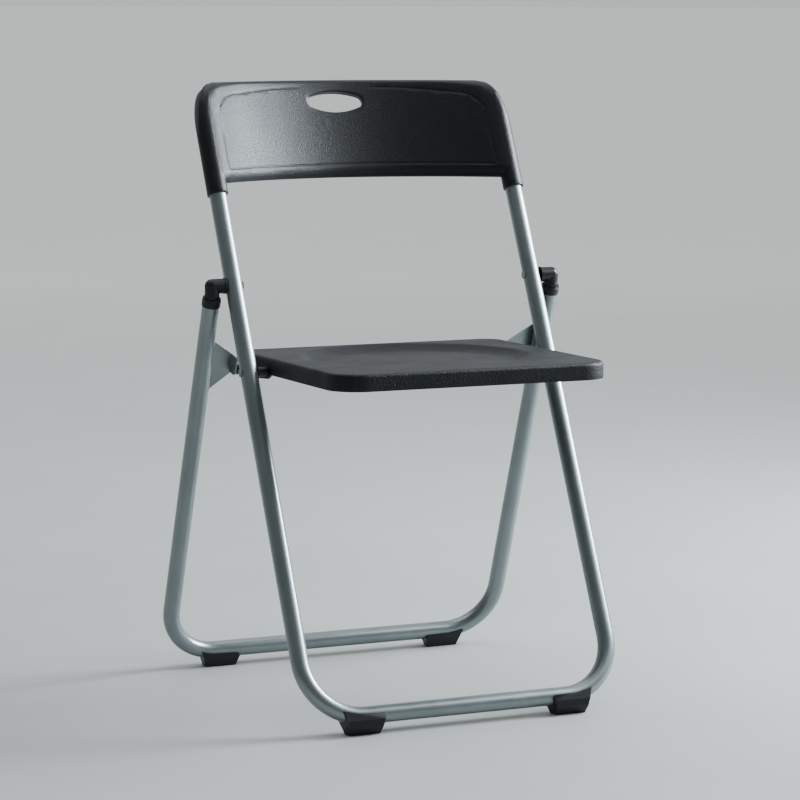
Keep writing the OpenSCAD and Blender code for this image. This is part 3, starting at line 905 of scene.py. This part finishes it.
def background(nt, color, strength=1.0):
    """A background of one colour, or of the colour from a socket."""
    n = nt.nodes.new("ShaderNodeBackground")
    n.inputs["Strength"].default_value = strength
    if isinstance(color, bpy.types.NodeSocket):
        nt.links.new(color, n.inputs["Color"])
    else:
        n.inputs["Color"].default_value = (*color, 1)
    return n.outputs[0]


def mix_shader(nt, share, a, b):
    n = nt.nodes.new("ShaderNodeMixShader")
    for k, socket in enumerate((share, a, b)):
        nt.links.new(socket, n.inputs[k])
    return n.outputs[0]


def make_world():
    """A plain wall for the camera, even light for matt surfaces, and for reflections a room
    that is bright behind the chair on its left and dark in front."""
    world = bpy.data.worlds.new("studio")
    bpy.context.scene.world = world
    world.use_nodes = True
    nt = world.node_tree
    nt.nodes.clear()
    dot = nt.nodes.new("ShaderNodeVectorMath")
    dot.operation = "DOT_PRODUCT"
    dot.inputs[1].default_value = (0.62, 0.76, 0.20)
    nt.links.new(nt.nodes.new("ShaderNodeTexCoord").outputs["Generated"], dot.inputs[0])
    room = ramp(nt, math_node(nt, "MULTIPLY_ADD", dot.outputs["Value"], 0.5, 0.5),
                [(0.0, (0.10, 0.108, 0.113)), (0.45, (0.27, 0.29, 0.30)),
                 (0.70, (0.46, 0.49, 0.51)), (1.0, (1.0, 1.03, 1.05))])
    ray = nt.nodes.new("ShaderNodeLightPath").outputs
    unseen = mix_shader(nt, ray["Is Diffuse Ray"], background(nt, room, 0.75),
                        background(nt, (0.80, 0.825, 0.825)))
    both = mix_shader(nt, ray["Is Camera Ray"], unseen, background(nt, (0.50, 0.51, 0.505)))
    out = nt.nodes.new("ShaderNodeOutputWorld")
    nt.links.new(both, out.inputs["Surface"])


def make_camera():
    """The photograph's view, aimed beside the chair's middle at 0.4 m."""
    yaw, pitch, roll = math.radians(24.1653), math.radians(7.4136), math.radians(-0.1912)
    distance, aim_x, aim_y = 3.90423, -0.00471, -0.0227
    forward = Vector((math.sin(yaw) * math.cos(pitch), math.cos(yaw) * math.cos(pitch),
                      -math.sin(pitch)))
    right = Vector((math.cos(yaw), -math.sin(yaw), 0))
    down = forward.cross(right)
    right, down = (right * math.cos(roll) + down * math.sin(roll),
                   down * math.cos(roll) - right * math.sin(roll))
    spot = Vector((0, SHIFT * MM, 0.4)) - (right * aim_x + down * aim_y + forward * distance)
    data = bpy.data.cameras.new("camera")
    data.sensor_width = 36.0
    data.lens = 137.5176
    data.shift_x, data.shift_y = -0.0001625, -0.0024
    data.clip_end = 1500.0
    obj = add("camera", data)
    obj.matrix_world = Matrix(((right.x, -down.x, -forward.x, spot.x),
                               (right.y, -down.y, -forward.y, spot.y),
                               (right.z, -down.z, -forward.z, spot.z), (0, 0, 0, 1)))
    bpy.context.scene.camera = obj


make_floor()
key_way = Vector((0.92, -0.10, 0.42)).normalized()
fill_way = Vector((0.62, -0.45, 0.64)).normalized()
softbox("key", LOOK_AT + key_way * 2.3, (0.9, 1.3), 122, (0.86, 0.94, 1.0))
softbox("fill", LOOK_AT + fill_way * 2.8, (1.4, 1.4), 12, (1.0, 1.0, 1.0))
softbox("top", LOOK_AT + Vector((-0.2, 0.6, 2.6)), (2.6, 2.6), 26, (0.95, 0.985, 1.0))
make_world()
make_camera()
bpy.context.scene.view_settings.look = "AgX - Medium High Contrast"
